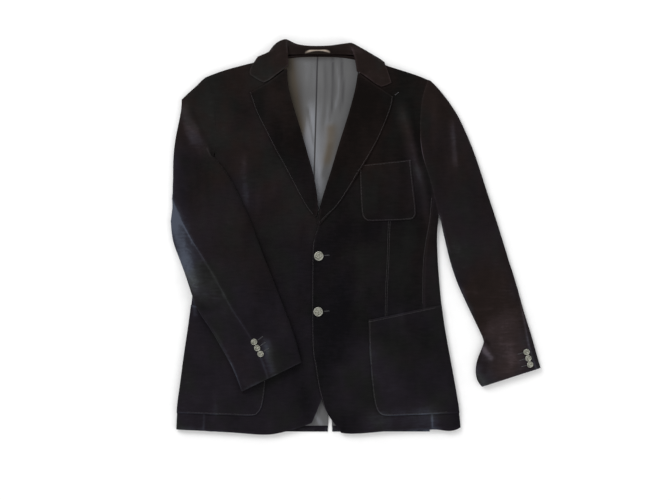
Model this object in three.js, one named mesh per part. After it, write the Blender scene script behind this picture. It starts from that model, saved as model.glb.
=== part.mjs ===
// Two-button blazer laid out on its back, collar towards +Y, outer fronts up, millimetres.

import * as THREE from "three";

// Cloth and seams.
const CLOTH = 2.0;
const POCKET_CLOTH = 1.5;
const LINING = 1.0;
const SEAM_GAP = 0.3;
// Clearance on each side of a seam that curves.
const SEAM_EASE = 0.5;
const SLEEVE_EASE = 1.4;
const LAYER_GAP = 0.5;

// Width of the rounding at a fold, seen from above.
const ROLL = 14;
// Height that the back neck is raised by the part of the collar that lies under it.
const UNDER_COLLAR = 3.0;
// Rise of the wearer's left front where it laps over the right one.
const LAP_RISE = 2.6;
// Distance between the turn of a lapel and the edge of the front under it.
const TURN = 4;

// A table whose rows become objects with named columns.
function table(names, rows) {
  const columns = names.split(" ");
  return rows.map((row) => Object.fromEntries(columns.map((name, i) => [name, row[i]])));
}

// A smooth curve through one column of a table, read by another column, with no overshoot.
function curve(rows, key, name) {
  const xs = rows.map((row) => row[key]);
  const ys = rows.map((row) => row[name]);
  const slopes = [];
  for (let i = 0; i + 1 < xs.length; i++) slopes.push((ys[i + 1] - ys[i]) / (xs[i + 1] - xs[i]));
  const tangents = xs.map((x, i) => {
    if (i === 0) return slopes[0];
    if (i === xs.length - 1) return slopes[i - 1];
    const before = slopes[i - 1];
    const after = slopes[i];
    return before * after <= 0 ? 0 : (2 * before * after) / (before + after);
  });
  return (x) => {
    let i = 0;
    while (i < xs.length - 2 && x > xs[i + 1]) i++;
    const width = xs[i + 1] - xs[i];
    const t = (x - xs[i]) / width;
    if (t <= 0) return ys[i];
    if (t >= 1) return ys[i + 1];
    const a = 2 * t ** 3 - 3 * t ** 2 + 1;
    const b = t ** 3 - 2 * t ** 2 + t;
    const c = 3 * t ** 2 - 2 * t ** 3;
    const d = t ** 3 - t ** 2;
    return a * ys[i] + b * width * tangents[i] + c * ys[i + 1] + d * width * tangents[i + 1];
  };
}

const mix = (a, b, t) => a + (b - a) * t;
const clamp = (t) => Math.min(1, Math.max(0, t));
const smooth = (t) => clamp(t) ** 2 * (3 - 2 * clamp(t));
const spread = (n) => Array.from({ length: n + 1 }, (unused, i) => i / n);

// Half outlines, measured out from the centre front: y runs up from the hem.
const LEFT = {
  sign: 1,
  armpitX: 242,
  armpitY: 436,
  frontSeamTop: 481,
  backSeamTop: 506,
  armEase: 0.3,
  sideLevels: [45, 80, 120, 160, 205, 250, 300, 345, 385],
  side: table("y x", [
    [-6, 286.5], [17, 285.4], [45, 283], [101, 274], [157, 263.8], [211, 253.6],
    [270, 246], [320, 242], [370, 238.5], [400, 238.5], [436, 242],
  ]),
  armhole: table("y x", [
    [436, 242], [490, 230], [530, 218], [560, 208], [590, 204], [620, 204],
    [660, 206], [694, 214], [712, 221],
  ]),
  shoulder: table("x y", [
    [0, 760], [64, 760], [78, 757.6], [88, 755], [110, 748.5], [132, 741.2], [157, 733.4],
    [203, 718.2], [222, 710], [240, 702],
  ]),
  frontSeam: table("y x", [
    [-6, 229], [36, 228], [150, 217], [250, 212], [340, 212.8], [386, 218],
    [430, 225], [480, 230.8],
  ]),
  backSeam: table("y x", [
    [-6, 226], [101, 213], [211, 194], [300, 184], [390, 186], [440, 197], [505, 225],
  ]),
  hem: table("x y", [
    [40, 5], [57, 2], [88, 3], [126, 6.4], [177, 9.4], [243, 10.6], [261, 7], [274, 9.4], [287, 15],
  ]),
  edge: table("y x", [
    [2, 50], [5, 45], [14.4, 33.4], [30, 23.2], [50, 13], [70.6, 6.8], [96, 0.4], [137, -6],
    [188, -12.4], [354, -12.4], [391, -10], [410, -4.8],
  ]),
  roll: table("y x", [
    [410, -4.8], [425, -2.2], [460, 4], [488, 13], [522, 24], [565, 36.8], [598, 47],
    [637, 59.8], [682, 72.4], [718, 78.8], [739, 82], [756, 88],
  ]),
};
const RIGHT = {
  sign: -1,
  side: table("y x", [
    [-6, 284.5], [10.6, 284], [58, 282], [96, 276.4], [150, 270], [206, 261.2],
    [239, 256], [290, 251], [330, 245], [370, 239.5], [400, 238.5], [436, 240], [466, 236],
    [500, 227.4], [530, 218], [548, 212.2],
  ]),
  armhole: table("y x", [
    [436, 242], [490, 230], [530, 218], [560, 208], [590, 204], [620, 204],
    [660, 206], [694, 214], [716, 225],
  ]),
  shoulder: table("x y", [
    [0, 760], [60, 760], [76, 758], [88, 756], [105, 752], [127, 746], [163, 737.2],
    [188, 730], [226, 716], [245, 708],
  ]),
  frontSeam: table("y x", [
    [-6, 229], [36, 228], [150, 217], [250, 212], [340, 212], [386, 213], [430, 212],
    [480, 207.4], [522, 201.6], [566, 202.8],
  ]),
  backSeam: table("y x", [
    [-6, 226], [101, 213], [211, 194], [300, 184], [390, 184], [440, 186], [500, 192], [522, 195], [570, 203],
  ]),
  armpitX: 212.2,
  armpitY: 548,
  frontSeamTop: 567,
  backSeamTop: 571,
  armEase: 2.1,
  sideLevels: [45, 80, 120, 160, 205, 250, 300, 345, 385, 415, 458, 500],
  hem: table("x y", [
    [12, 24], [35.4, 10.6], [46, 6.4], [63, 2], [86, -0.8], [137, 3], [183, 5.6], [229, 8], [286, 10.6],
  ]),
  edge: table("y x", [
    [10, 36], [17, 17.6], [34.8, 7.4], [60.4, -2.8], [80, -11], [110, -18], [140, -20],
    [380, -20], [404, -18], [420, -8],
  ]),
  roll: table("y x", [
    [420, -10], [432, -2], [440, 0.5], [455, -0.5], [463, -1], [486, 2], [517, 7.4], [560, 20], [606, 32.8], [644, 45.6],
    [682, 56], [700, 60.4], [735, 62], [745, 70], [757, 84],
  ]),
};

// Height of the upper face over the table, from hem to shoulder.
const loft = table("y height", [
  [-6, 10.5], [60, 11.5], [200, 12.5], [330, 13], [436, 15], [560, 16.5], [700, 17], [760, 17],
]);
const heightAt = curve(loft, "y", "height");

for (const half of [LEFT, RIGHT]) {
  half.sideAt = curve(half.side, "y", "x");
  half.armholeAt = curve(half.armhole, "y", "x");
  half.shoulderAt = curve(half.shoulder, "x", "y");
  half.frontSeamAt = curve(half.frontSeam, "y", "x");
  half.backSeamAt = curve(half.backSeam, "y", "x");
  half.hemAt = curve(half.hem, "x", "y");
  half.edgeAt = curve(half.edge, "y", "x");
  half.rollAt = curve(half.roll, "y", "x");
}

// Rounding of a fold: 0 on the fold, 1 once a roll's width in.
const round = (d) => (d >= ROLL ? 1 : Math.sqrt(1 - ((ROLL - Math.max(0, d)) / ROLL) ** 2));
// Plan distance from a fold for a length measured round it.
const inFromFold = (s) => (s < ROLL ? ROLL * (1 - Math.cos((Math.PI * s) / (2 * ROLL))) : s);

// How far the back is raised off the table where the collar lies under it.
function baseAt(x, y) {
  return UNDER_COLLAR * smooth((y - 672) / 34) * smooth((158 - Math.abs(x)) / 28);
}

// Distance in from the silhouette of the body, by side fold and by shoulder line.
function insets(half, x, y) {
  const out = half.sign * x;
  const below = y <= half.armpitY;
  const side = below ? half.sideAt(y) - out : Math.hypot(half.armpitX - out, y - half.armpitY);
  return { side, shoulder: half.shoulderAt(out) - y };
}
function upperAt(half, x, y) {
  const inset = insets(half, x, y);
  const base = baseAt(x, y);
  const height = heightAt(y);
  const middle = (base + height) / 2;
  return middle + (height - middle) * round(inset.side) * round(inset.shoulder);
}
function underAt(half, x, y) {
  const inset = insets(half, x, y);
  const base = baseAt(x, y);
  const middle = (base + heightAt(y)) / 2;
  return middle - (middle - base) * round(inset.side) * round(inset.shoulder);
}

// Upper face of a front, with the rise of the lap.
function frontAt(half, x, y) {
  const z = upperAt(half, x, y);
  if (half.sign < 0) return z;
  const across = smooth((52 - x) / 26);
  const along = smooth((462 - y) / 40) * smooth((y - 14) / 40);
  return z + LAP_RISE * across * along;
}

// A closed wall over a grid of points, between two distances along the grid's normals.
// A skirt is a number of columns at each side that turn the normals and aren't built.
function wall(grid, from, to, skirt = 0) {
  const rows = grid.length;
  const all = grid[0].length;
  const columns = all - 2 * skirt;
  const normal = (i, j) => {
    const along = grid[Math.min(i + 1, rows - 1)][j].clone().sub(grid[Math.max(i - 1, 0)][j]);
    const across = grid[i][Math.min(j + 1, all - 1)].clone().sub(grid[i][Math.max(j - 1, 0)]);
    return across.cross(along).normalize();
  };
  const positions = [];
  for (const offset of [from, to]) {
    for (let i = 0; i < rows; i++) {
      for (let j = skirt; j < all - skirt; j++) {
        const p = grid[i][j].clone().addScaledVector(normal(i, j), offset);
        positions.push(p.x, p.y, p.z);
      }
    }
  }
  const lower = (i, j) => i * columns + j;
  const upper = (i, j) => rows * columns + i * columns + j;
  const index = [];
  const quad = (a, b, c, d) => index.push(a, b, c, a, c, d);
  for (let i = 0; i + 1 < rows; i++) {
    for (let j = 0; j + 1 < columns; j++) {
      quad(upper(i, j), upper(i, j + 1), upper(i + 1, j + 1), upper(i + 1, j));
      quad(lower(i, j), lower(i + 1, j), lower(i + 1, j + 1), lower(i, j + 1));
    }
  }
  for (let j = 0; j + 1 < columns; j++) {
    quad(lower(0, j), lower(0, j + 1), upper(0, j + 1), upper(0, j));
    quad(lower(rows - 1, j + 1), lower(rows - 1, j), upper(rows - 1, j), upper(rows - 1, j + 1));
  }
  for (let i = 0; i + 1 < rows; i++) {
    quad(lower(i + 1, 0), lower(i, 0), upper(i, 0), upper(i + 1, 0));
    quad(lower(i, columns - 1), lower(i + 1, columns - 1), upper(i + 1, columns - 1), upper(i, columns - 1));
  }
  const geometry = new THREE.BufferGeometry();
  geometry.setAttribute("position", new THREE.Float32BufferAttribute(positions, 3));
  geometry.setIndex(index);
  geometry.computeVertexNormals();
  return geometry;
}

// The same grid with its columns in the other order, so that its normals turn round.
const turned = (grid) => grid.map((row) => [...row].reverse());
const facingUp = (half, grid) => (half.sign > 0 ? grid : turned(grid));

const velvet = { color: 0x1d1b1c, roughness: 0.92, metalness: 0 };
const satin = { color: 0x5c6470, roughness: 0.45, metalness: 0 };
const pewter = { color: 0x8f8f8c, roughness: 0.4, metalness: 0.9 };
const blazer = new THREE.Group();
blazer.name = "blazer";

function add(name, geometry, finish) {
  const mesh = new THREE.Mesh(geometry, new THREE.MeshStandardMaterial(finish));
  mesh.name = name;
  blazer.add(mesh);
  return mesh;
}

// Rows up a panel: the same ones on every panel up to the chest, then up to the shoulder and round it.
const levels = [
  45, 80, 120, 160, 205, 250, 300, 345, 385, 415, 436, 458, 480, 505, 535, 566, 600, 635, 668,
];
const shoulderSteps = [8, 4, 1.4, SEAM_GAP / 2];
function upPanel(bottom, top) {
  const neck = [0, 0.3, 0.65, 1].map((t) => mix(684, top - ROLL, t));
  return [bottom, ...levels, ...neck, ...shoulderSteps.map((step) => top - step)];
}
// Height of the shoulder line at a share of the way from a panel's inner edge to its outer one.
function shoulderOf(half, inner, outer, share) {
  let top = 730;
  for (let i = 0; i < 8; i++) top = half.shoulderAt(mix(inner(top), outer(top), share));
  return top;
}

// Fronts, from the front edge or the turn of the lapel to the side seam and the armhole.
function frontGrid(half) {
  const across = [0, 0.06, 0.16, 0.3, 0.45, 0.6, 0.74, 0.86, 0.94, 1];
  const inner = (y) => (y < half.roll[0].y ? half.edgeAt(y) : half.rollAt(y) + TURN);
  const outer = (y) =>
    (y < half.frontSeamTop ? half.frontSeamAt(y) : half.armholeAt(y)) - SEAM_EASE;
  const columns = across.map((u) => {
    const hemX = mix(inner(half.hem[0].y), outer(0), u);
    const bottom = half.hemAt(hemX);
    return upPanel(bottom, shoulderOf(half, inner, outer, u)).map((y) => {
      const x = half.sign * mix(inner(y), outer(y), u);
      return new THREE.Vector3(x, y, frontAt(half, x, y));
    });
  });
  return columns[0].map((unused, i) => columns.map((column) => column[i]));
}
const fronts = new Map();
for (const half of [LEFT, RIGHT]) {
  const grid = facingUp(half, frontGrid(half));
  fronts.set(half, grid);
  add(half.sign > 0 ? "front_left" : "front_right", wall(grid, -CLOTH, 0), velvet);
}

// Side panels, from the front seam over the side fold to the back seam underneath.
function sidePanelGrid(half) {
  const steps = [1, 0.72, 0.45, 0.2];
  const turns = [12, 9, 6, 3, 0, -3, -6, -9, -12];
  const rowAt = (y) => {
    const front = half.sideAt(y) - half.frontSeamAt(y) - SEAM_EASE;
    const back = half.sideAt(y) - half.backSeamAt(y) - SEAM_EASE;
    const lengths = [
      ...steps.map((t) => mix(ROLL + 1, front, t)),
      ...turns,
      ...[...steps].reverse().map((t) => -mix(ROLL + 1, back, t)),
    ];
    return lengths.map((s) => ({ x: half.sideAt(y) - inFromFold(Math.abs(s)), y, upper: s >= 0 }));
  };
  const count = steps.length * 2 + turns.length;
  const fold = steps.length + 4;
  const armholeRow = spread(count - 1).map((unused, i) => {
    const upper = i <= fold;
    const t = upper ? i / fold : (i - fold) / (count - 1 - fold);
    const y = mix(half.armpitY, upper ? half.frontSeamTop : half.backSeamTop, upper ? 1 - t : t);
    return { x: half.armholeAt(y) - half.armEase, y, upper };
  });
  const hemRow = rowAt(12).map((p) => ({ ...p, y: half.hemAt(p.x) }));
  const rows = [hemRow, ...half.sideLevels.map(rowAt)];
  const last = rowAt(half.armpitY - 26);
  for (const t of [0, 0.35, 0.7, 1]) {
    rows.push(last.map((p, i) => ({
      x: mix(p.x, armholeRow[i].x, t),
      y: mix(p.y, armholeRow[i].y, t),
      upper: p.upper,
    })));
  }
  return rows.map((row) => row.map((p) => {
    const x = half.sign * p.x;
    const z = p.upper ? upperAt(half, x, p.y) : underAt(half, x, p.y);
    return new THREE.Vector3(x, p.y, z);
  }));
}
for (const half of [LEFT, RIGHT]) {
  const name = half.sign > 0 ? "side_panel_left" : "side_panel_right";
  add(name, wall(facingUp(half, sidePanelGrid(half)), -CLOTH, 0), velvet);
}

// Back panels and their lining, from the centre seam to the back seam and the armhole.
const centreBack = curve(
  table("y x gap", [
    [0, 24, 9.4], [31, 24, 8.6], [70, 23.4, 0.3], [150, 20, 0.3], [330, 8, 0.3], [520, -1, 0.3], [770, -2, 0.3],
  ]), "y", "x");
const ventGap = curve(table("y gap", [[0, 9.2], [31, 8], [75, 0.3], [770, 0.3]]), "y", "gap");
function backGrid(half, shape) {
  const across = [0, 0.12, 0.3, 0.5, 0.7, 0.86, 1];
  const inner = (y) => half.sign * centreBack(y) + ventGap(y) / 2;
  const outer = (y) => (y < half.backSeamTop ? half.backSeamAt(y) : half.armholeAt(y)) - shape.sideInset;
  const columns = across.map((u) => {
    const edge = shoulderOf(half, inner, outer, u);
    const out = mix(inner(edge), outer(edge), u);
    const inset = mix(shape.neckInset, shape.shoulderInset, smooth((out - 48) / 26));
    return upPanel(shape.hem, edge - inset).map((y) => {
      const x = half.sign * mix(inner(y), outer(y), u);
      return new THREE.Vector3(x, y, underAt(half, x, y) + shape.above);
    });
  });
  return columns[0].map((unused, i) => columns.map((column) => column[i]));
}
for (const half of [LEFT, RIGHT]) {
  const back = { hem: 6, neckInset: 0, shoulderInset: 0, sideInset: SEAM_EASE, above: 0 };
  const above = CLOTH + LAYER_GAP + 0.2;
  const lining = { hem: 18, neckInset: 3.4, shoulderInset: 7, sideInset: 12, above };
  const word = half.sign > 0 ? "left" : "right";
  add("back_" + word, wall(facingUp(half, backGrid(half, back)), 0, CLOTH), velvet);
  add("lining_back_" + word, wall(facingUp(half, backGrid(half, lining)), 0, LINING), satin);
}

// Lapels: a strip from under the turn, round it and out over the front.
// Columns give the height of each row on the turn line, the bend at the notch and the outer edge.
LEFT.lapel = table("turnY notchX notchY tipX tipY", [
  [723, 126, 692, 150.5, 675.6],
  [704, 118, 680, 148.5, 663],
  [682, 108, 660, 142, 641],
  [637, 93, 612, 121, 592],
  [598, 75, 572, 98.5, 552],
  [565, 60, 540, 79, 521],
  [522, 43, 502, 58, 486],
  [488, 27, 471, 38, 457],
  [460, 14, 448, 21.5, 441],
  [424, 0.6, 421, 2.6, 419],
]);
RIGHT.lapel = table("turnY notchX notchY tipX tipY", [
  [731, 107.5, 699.5, 137.4, 683.6],
  [710, 104, 688, 133.5, 674],
  [690, 98, 664, 124, 646],
  [652, 80, 624, 104, 606],
  [610, 65, 588, 87, 572],
  [560, 47, 548, 66, 534],
  [522, 31, 508, 46, 496],
  [480, 15, 468, 26, 459],
  [455, 7, 446, 12, 440],
  [440, 5, 437, 6.6, 435],
]);
// How much higher than its two layers the turn of a lapel stands.
const TURN_RISE = 2.2;
const LAYER = CLOTH + SEAM_GAP;
// Rise of the left lapel where it covers the corner of the chest pocket.
function coverRise(half, out, y) {
  if (half.sign < 0) return 0;
  return 2.3 * smooth((out - 64) / 9) * smooth((y - 500) / 14) * smooth((572 - y) / 14);
}
function lapelGrid(half) {
  return half.lapel.map((row, i) => {
    const fade = Math.min(1, (half.lapel.length - 1 - i) / 3);
    const rise = TURN_RISE * fade;
    const turnX = half.rollAt(row.turnY);
    const middle = (out, y) => frontAt(half, half.sign * out, y) - CLOTH / 2;
    const radius = (LAYER + rise) / 2;
    const lower = middle(turnX + TURN, row.turnY);
    const place = (out, y, z) => new THREE.Vector3(half.sign * out, y, z);
    const reach = Math.min(TURN - CLOTH / 2 - 0.9, radius);
    const turn = [-90, -45, 0, 45, 90].map((angle) => {
      const a = (angle * Math.PI) / 180;
      const out = turnX + CLOTH / 2 + reach * (1 - Math.cos(a));
      return place(out, row.turnY, lower + radius * (1 + Math.sin(a)));
    });
    const outwards = [0.2, 0.42, 0.64, 0.82, 1].map((t) => {
      const past = t > 0.64;
      const part = past ? (t - 0.64) / 0.36 : t / 0.64;
      const out = past ? mix(row.notchX, row.tipX, part) : mix(turnX, row.notchX, part);
      const y = past ? mix(row.notchY, row.tipY, part) : mix(row.turnY, row.notchY, part);
      const lift = rise * (1 - smooth(t / 0.7)) + coverRise(half, out, y);
      return place(out, y, middle(out, y) + LAYER + SEAM_GAP + lift);
    });
    return [...turn, ...outwards];
  });
}
for (const half of [LEFT, RIGHT]) {
  const name = half.sign > 0 ? "lapel_left" : "lapel_right";
  const grid = facingUp(half, lapelGrid(half)).reverse();
  add(name, wall(grid, -CLOTH / 2, CLOTH / 2), velvet);
}

// Collar: sections round the neck from the right notch to the left one, each from the seam of the
// stand (s) over the turn (r), the bulge (m) and the nape (n) to the free edge of the fall (f).
// It lies on the shoulders at the sides and under the back neck between them.
const collarSections = table("sx sy sz rx ry rz mx my mz nx ny nz fx fy fz", [
  [-66, 735.5, 15.6, -59.6, 738, 20.5, -84, 720, 19.5, -107.6, 704.5, 18.8, -136, 720.6, 18.6],
  [-67, 743, 15.6, -60, 751, 21, -82, 736, 19.6, -105, 723, 18.8, -137, 729, 18.6],
  [-74, 749, 15.4, -60.5, 764, 21, -82, 754, 19.5, -103, 745, 18.8, -130, 742, 17],
  [-80, 759.5, 13, -61.5, 778, 21.5, -84, 772, 19, -102, 764, 15.5, -120, 757, 8.5],
  [-74, 761, 11.4, -62, 790, 21, -78, 787, 15, -92, 776, 6, -112, 744, 1.2],
  [-62, 761.3, 11, -54, 785, 21, -60, 787, 12, -72, 772, 2.2, -88, 730, 1.1],
  [-44, 761.5, 11, -42, 778, 21, -44, 780, 12, -50, 760, 1.3, -60, 722, 1.1],
  [-20, 761.5, 11, -20, 774, 21, -20, 777, 12, -22, 757, 1.2, -26, 720, 1.1],
  [5, 761.5, 11, 5, 774, 21, 5, 777, 12, 5, 757, 1.2, 5, 720, 1.1],
  [28, 761.5, 11, 28, 775, 21, 28, 778, 12, 30, 758, 1.2, 34, 721, 1.1],
  [48, 761.5, 11, 47, 779, 21, 48, 781, 12, 54, 762, 1.3, 66, 725, 1.1],
  [64, 761.3, 11.2, 61, 781, 21, 70, 783, 12, 82, 768, 3, 98, 735, 1.2],
  [80, 760, 12.4, 69, 771, 21.5, 88, 771, 16, 104, 764, 8, 124, 753, 4.6],
  [86, 751.5, 14.6, 73, 757, 21, 94, 756, 19, 112, 752, 16, 133, 746, 17],
  [83, 738, 15.6, 76.5, 742, 20.6, 96, 734, 19.6, 116, 727, 19, 141, 723, 18.2],
  [80.8, 724, 15.6, 78, 727.5, 20.2, 102, 712, 19.4, 126, 696, 18.8, 147, 704.5, 18.6],
]);
const collarSteps = [0, 0.07, 0.14, 0.19, 0.235, 0.28, 0.34, 0.42, 0.52, 0.64, 0.76, 0.88, 1];
const collarGrid = collarSections.map((row, i) => {
  const corners = ["s", "r", "m", "n", "f"];
  const points = corners.map((c) => new THREE.Vector3(row[c + "x"], row[c + "y"], row[c + "z"]));
  const path = new THREE.CatmullRomCurve3(points, false, "centripetal");
  const beneath = i > 3 && i < 12;
  return collarSteps.map((t) => {
    const p = path.getPoint(t);
    const half = p.x < 0 ? RIGHT : LEFT;
    if (t < 0.3 || p.y > half.shoulderAt(Math.abs(p.x))) return p;
    const clear = CLOTH / 2 + LAYER_GAP + 0.3;
    if (beneath) p.z = Math.max(CLOTH / 2, Math.min(p.z, underAt(half, p.x, p.y) - clear));
    else p.z = Math.max(p.z, upperAt(half, p.x, p.y) + clear);
    return p;
  });
});
add("collar", wall(collarGrid, -CLOTH / 2, CLOTH / 2), velvet);

// Sleeves: rows from the armhole to the cuff, each from the inner fold to the outer fold.
// bow moves the middle of a row towards the body, seam is where the hind seam lies on it,
// from 0 at the inner fold to 1 at the outer one and on to the underside.
const leftSleeve = {
  half: LEFT,
  rows: table("ix iy ox oy bend join seam high", [
    [242.2, 436, 221, 712, 1, 1, 1.08, 16],
    [246, 425, 238, 696, 0.8, 0.6, 1.08, 15.5],
    [249, 408, 258, 672, 0.5, 0.25, 1.07, 15],
    [256, 381, 279, 642, 0.2, 0, 1.06, 14.5],
    [262, 354, 294, 611, 0, 0, 1.06, 14],
    [270, 328, 310, 575, 0, 0, 1.06, 14],
    [279, 302, 324, 533, 0, 0, 1.05, 14],
    [290, 278, 338, 488, 0, 0, 1.05, 14],
    [302, 252, 353, 444, 0, 0, 1.04, 14],
    [315, 226, 368, 396, 0, 0, 1.03, 14],
    [326, 202, 384, 344, 0, 0, 1.01, 14],
    [332.5, 188, 398, 302, 0, 0, 0.98, 13.5],
    [330, 178, 406, 270, 0, 0, 0.95, 13.5],
    [323, 162, 416, 236, 0, 0, 0.93, 14],
    [317, 146, 426, 204, 0, 0, 0.91, 14],
    [314.5, 126, 434, 176, 0, 0, 0.9, 13.5],
    [318, 108, 441, 150, 0, 0, 0.91, 13],
    [328, 96, 446, 134, 0, 0, 0.91, 12],
  ]),
};
const rightSleeve = {
  half: RIGHT,
  rows: table("ix iy ox oy bend join seam high", [
    [212.2, 548, 225, 716, 1, 1, 1.1, 16],
    [212.6, 549, 242, 698, 0.8, 0.75, 1.1, 16],
    [212.4, 550, 258, 685, 0.55, 0.5, 1.1, 16],
    [211.4, 551, 272.6, 671, 0.3, 0.25, 1.1, 16],
    [208.6, 551.6, 274, 647, 0.12, 0.08, 1.1, 15.5],
    [204, 551, 281.6, 616, 0, 0, 1.1, 15.5],
    [193, 539, 288, 580, 0, 0, 1.08, 15],
    [178, 519, 290.8, 548, 0, 0, 1.06, 14.5],
    [164, 493, 290.6, 510, 0, 0, 1.04, 14],
    [151, 466, 292.6, 472, 0, 0, 0.99, 14],
    [134, 428, 295.4, 428, 0, 0, 0.86, 14],
    [121, 392, 293, 388, 0, 0, 0.76, 14],
    [107, 354, 277, 350, 0, 0, 0.7, 14],
    [92, 318, 262, 312, 0, 0, 0.66, 14],
    [80, 286, 252, 280, 0, 0, 0.62, 14],
    [66, 250, 240, 246, 0, 0, 0.59, 13.5],
    [54, 220, 214, 212, 0, 0, 0.57, 13],
    [46, 196, 192, 172, 0, 0, 0.55, 13],
    [40, 174, 172, 138, 0, 0, 0.55, 12.5],
    [36, 158, 161, 110, 0, 0, 0.553, 12],
    [32.8, 146, 152.8, 87.2, 0, 0, 0.553, 11],
  ]),
};
// Length of undersleeve and topsleeve seam that lies under the inner fold.
const FORE_SEAM = 24;
// How far out a sleeve that lies on the body starts to come down to the table.
const RAMP = 32;
const POCKET_BUILD = 2.4;

// Height of the sleeve's resting face over the table, on the body or beside it.
function restAt(sleeve, x, y) {
  if (sleeve === leftSleeve) return 0;
  const out = -x;
  const half = sleeve.half;
  const edge = y < half.armpitY ? half.sideAt(y) : half.armholeAt(Math.min(y, 712));
  const pocket = POCKET_BUILD * smooth((345 - y) / 40);
  return (heightAt(y) + 2 * LAYER_GAP + pocket) * smooth((edge - out + RAMP) / RAMP);
}

// A point of a sleeve: s runs round it from the inner fold, over the top and back underneath.
function sleevePoint(sleeve, row, s) {
  const half = sleeve.half;
  const armhole = sleeve.rows[0];
  const width = Math.hypot(row.ox - row.ix, row.oy - row.iy);
  const onTop = s >= 0 && s <= width;
  const fromInner = s < 0 ? -s : s <= width ? s : Math.abs(2 * width - s);
  const inner = fromInner < width / 2;
  const inset = inner ? inFromFold(fromInner) : inFromFold(width - fromInner);
  const t = inner ? inset / width : 1 - inset / width;
  const level = mix(armhole.iy, armhole.oy, t);
  const bow = half.armholeAt(level) - mix(armhole.ix, armhole.ox, t) + SLEEVE_EASE;
  const x = half.sign * (mix(row.ix, row.ox, t) + row.bend * bow);
  const y = mix(row.iy, row.oy, t);
  const side = onTop ? 1 : -1;
  const own = restAt(sleeve, x, y) + (row.high / 2) * (1 + side * round(inset));
  const seamX = half.sign * half.armholeAt(level);
  const body = onTop ? upperAt(half, seamX, level) : underAt(half, seamX, level);
  return new THREE.Vector3(x, y, mix(own, body, row.join));
}

// Lengths round a sleeve between two seams, closer together at the folds.
function lengthsRound(width, from, to, count) {
  const steps = spread(240).map((t) => mix(from, to, t));
  const near = (s, fold) => (Math.abs(s - fold) < ROLL ? 2.2 : 0);
  const weight = (s) => 1 + near(s, 0) + near(s, width) + near(s, 2 * width);
  const sums = [0];
  for (let i = 1; i < steps.length; i++) sums.push(sums[i - 1] + weight((steps[i] + steps[i - 1]) / 2));
  return spread(count).map((t) => {
    const wanted = t * sums[sums.length - 1];
    let i = 1;
    while (i < sums.length - 1 && sums[i] < wanted) i++;
    const part = (wanted - sums[i - 1]) / (sums[i] - sums[i - 1]);
    return mix(steps[i - 1], steps[i], clamp(part));
  });
}
function sleeveGrid(sleeve, part, count) {
  return sleeve.rows.map((row) => {
    const width = Math.hypot(row.ox - row.ix, row.oy - row.iy);
    const hind = row.seam * width;
    const fore = -FORE_SEAM;
    const from = (part === "top" ? fore : hind) + SEAM_EASE;
    const to = (part === "top" ? hind : 2 * width + fore) - SEAM_EASE;
    const lengths = lengthsRound(width, from, to, count);
    return [from - 4, ...lengths, to + 4].map((s) => sleevePoint(sleeve, row, s));
  });
}
const sleeveGrids = {};
for (const [word, sleeve, counts] of [["left", leftSleeve, [24, 15]], ["right", rightSleeve, [20, 15]]]) {
  const top = facingUp(sleeve.half, sleeveGrid(sleeve, "top", counts[0])).reverse();
  const below = facingUp(sleeve.half, sleeveGrid(sleeve, "under", counts[1])).reverse();
  sleeveGrids[word] = top;
  add("sleeve_" + word + "_top", wall(top, -CLOTH, 0, 1), velvet);
  add("sleeve_" + word + "_under", wall(below, -CLOTH, 0, 1), velvet);
}

// Patch pockets: the face of the panel under them, moved out.
// Columns: share of the way down, and the two edges at that height.
const chestPocket = table("down left right", [
  [0, 83, 184.8], [0.25, 83.8, 188], [0.5, 84.5, 191.5], [0.75, 86, 195], [0.86, 87.4, 196],
  [0.92, 89.6, 195.2], [0.96, 92.8, 192.8], [0.985, 96.8, 189], [1, 104, 182],
]);
const chestGrid = chestPocket.map((row) => spread(7).map((u) => {
  const x = mix(row.left, row.right, u);
  const y = mix(mix(539.6, 550.8, u), mix(427, 430, u), row.down);
  return new THREE.Vector3(x, y, frontAt(LEFT, x, y));
}));
const overCloth = LAYER_GAP + POCKET_CLOTH;
add("chest_pocket", wall([...chestGrid].reverse(), LAYER_GAP, overCloth), velvet);

const lowerPocket = table("down inner", [
  [0, 0], [0.22, 1], [0.45, 3.5], [0.7, 7.5], [0.85, 11.5], [0.93, 16], [0.98, 23], [1, 33],
]);
function lowerPocketGrid(half, innerX) {
  const flat = [0, 0.17, 0.34, 0.5, 0.67, 0.84, 1];
  const bends = [11.5, 9, 6, 3];
  return lowerPocket.map((row) => {
    const place = (u, out, y) => {
      const z = upperAt(half, half.sign * out, y);
      return new THREE.Vector3(half.sign * out, y, z);
    };
    const level = (u) => mix(mix(230, 260, u), mix(38, 44, u), row.down);
    const points = flat.map((t) => {
      const u = t * 0.92;
      const y = level(u);
      return place(u, mix(innerX + row.inner, half.sideAt(y) - ROLL - 1, t), y);
    });
    for (const [i, bend] of bends.entries()) {
      const y = level(mix(0.93, 1, i / 3));
      points.push(place(1, half.sideAt(y) - inFromFold(bend), y));
    }
    return points;
  }).reverse();
}
for (const [half, innerX, word] of [[LEFT, 101, "left"], [RIGHT, 98, "right"]]) {
  const grid = facingUp(half, lowerPocketGrid(half, innerX));
  add("lower_pocket_" + word, wall(grid, LAYER_GAP, overCloth), velvet);
}

// Neck label: a plain strip on the inner face of the stand.
function onCollar(section, column) {
  const i = Math.floor(section);
  const j = Math.floor(column);
  const top = collarGrid[i][j].clone().lerp(collarGrid[i][j + 1], column - j);
  const next = collarGrid[i + 1][j].clone().lerp(collarGrid[i + 1][j + 1], column - j);
  return top.lerp(next, section - i);
}
const labelGrid = [6.73, 7, 7.5, 8, 8.4, 8.84].map((section) => (
  [0.35, 1, 1.5, 2, 2.5].map((column) => onCollar(section, column))
));
const labelLift = CLOTH / 2 + LAYER_GAP;
add("neck_label", wall(labelGrid, -labelLift - 0.8, -labelLift), {
  color: 0xb9ae9a, roughness: 0.8, metalness: 0,
});

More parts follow.
